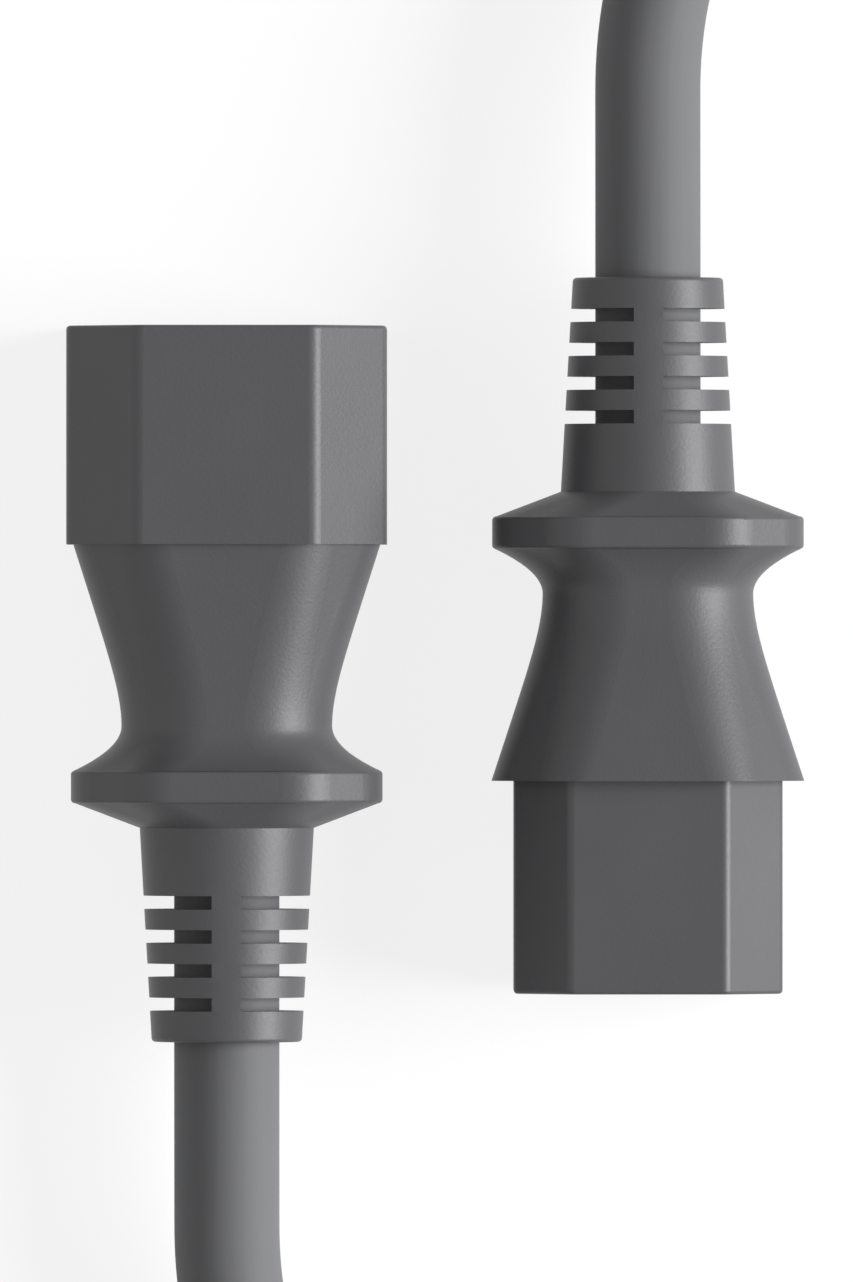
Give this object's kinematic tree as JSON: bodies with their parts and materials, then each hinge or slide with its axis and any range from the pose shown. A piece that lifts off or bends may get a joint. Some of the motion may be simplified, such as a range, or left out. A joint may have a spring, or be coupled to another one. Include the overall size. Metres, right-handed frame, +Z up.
{
  "type": "power extension lead",
  "caption": "Short mains extension lead: shrouded inlet plug with flat blades, slotted strain reliefs, round cord, and a chamfered connector with slots.",
  "frame": {"origin": "on the floor, under the middle of the box around the two ends (the free cord left out)", "axes": "+Z up; +Y along both ends, the way the plug's shroud points; +X from the plug to the connector"},
  "size_m": [0.1449, 0.1996, 0.0206],
  "materials": {
    "overmould": "satin",
    "insert": "satin",
    "blade": "polished nickel plate",
    "contact": "bright",
    "copper": "bright stranded",
    "line_insulation": "satin",
    "neutral_insulation": "satin",
    "earth_insulation": "satin",
    "sheath": "satin"
  },
  "bodies": {
    "root": {"plug_cover": "overmould", "plug_pin_block": "insert", "connector_cover": "overmould", "connector_nose": "overmould", "cord_sheath": "sheath", "plug_line_pin": "blade", "connector_line_contact": "contact", "plug_line_core": "line_insulation", "plug_line_wire": "copper", "connector_line_core": "line_insulation", "connector_line_wire": "copper", "plug_neutral_pin": "blade", "connector_neutral_contact": "contact", "plug_neutral_core": "neutral_insulation", "plug_neutral_wire": "copper", "connector_neutral_core": "neutral_insulation", "connector_neutral_wire": "copper", "plug_earth_pin": "blade", "connector_earth_contact": "contact", "plug_earth_core": "earth_insulation", "plug_earth_wire": "copper", "connector_earth_core": "earth_insulation", "connector_earth_wire": "copper"}
  },
  "joints": []
}
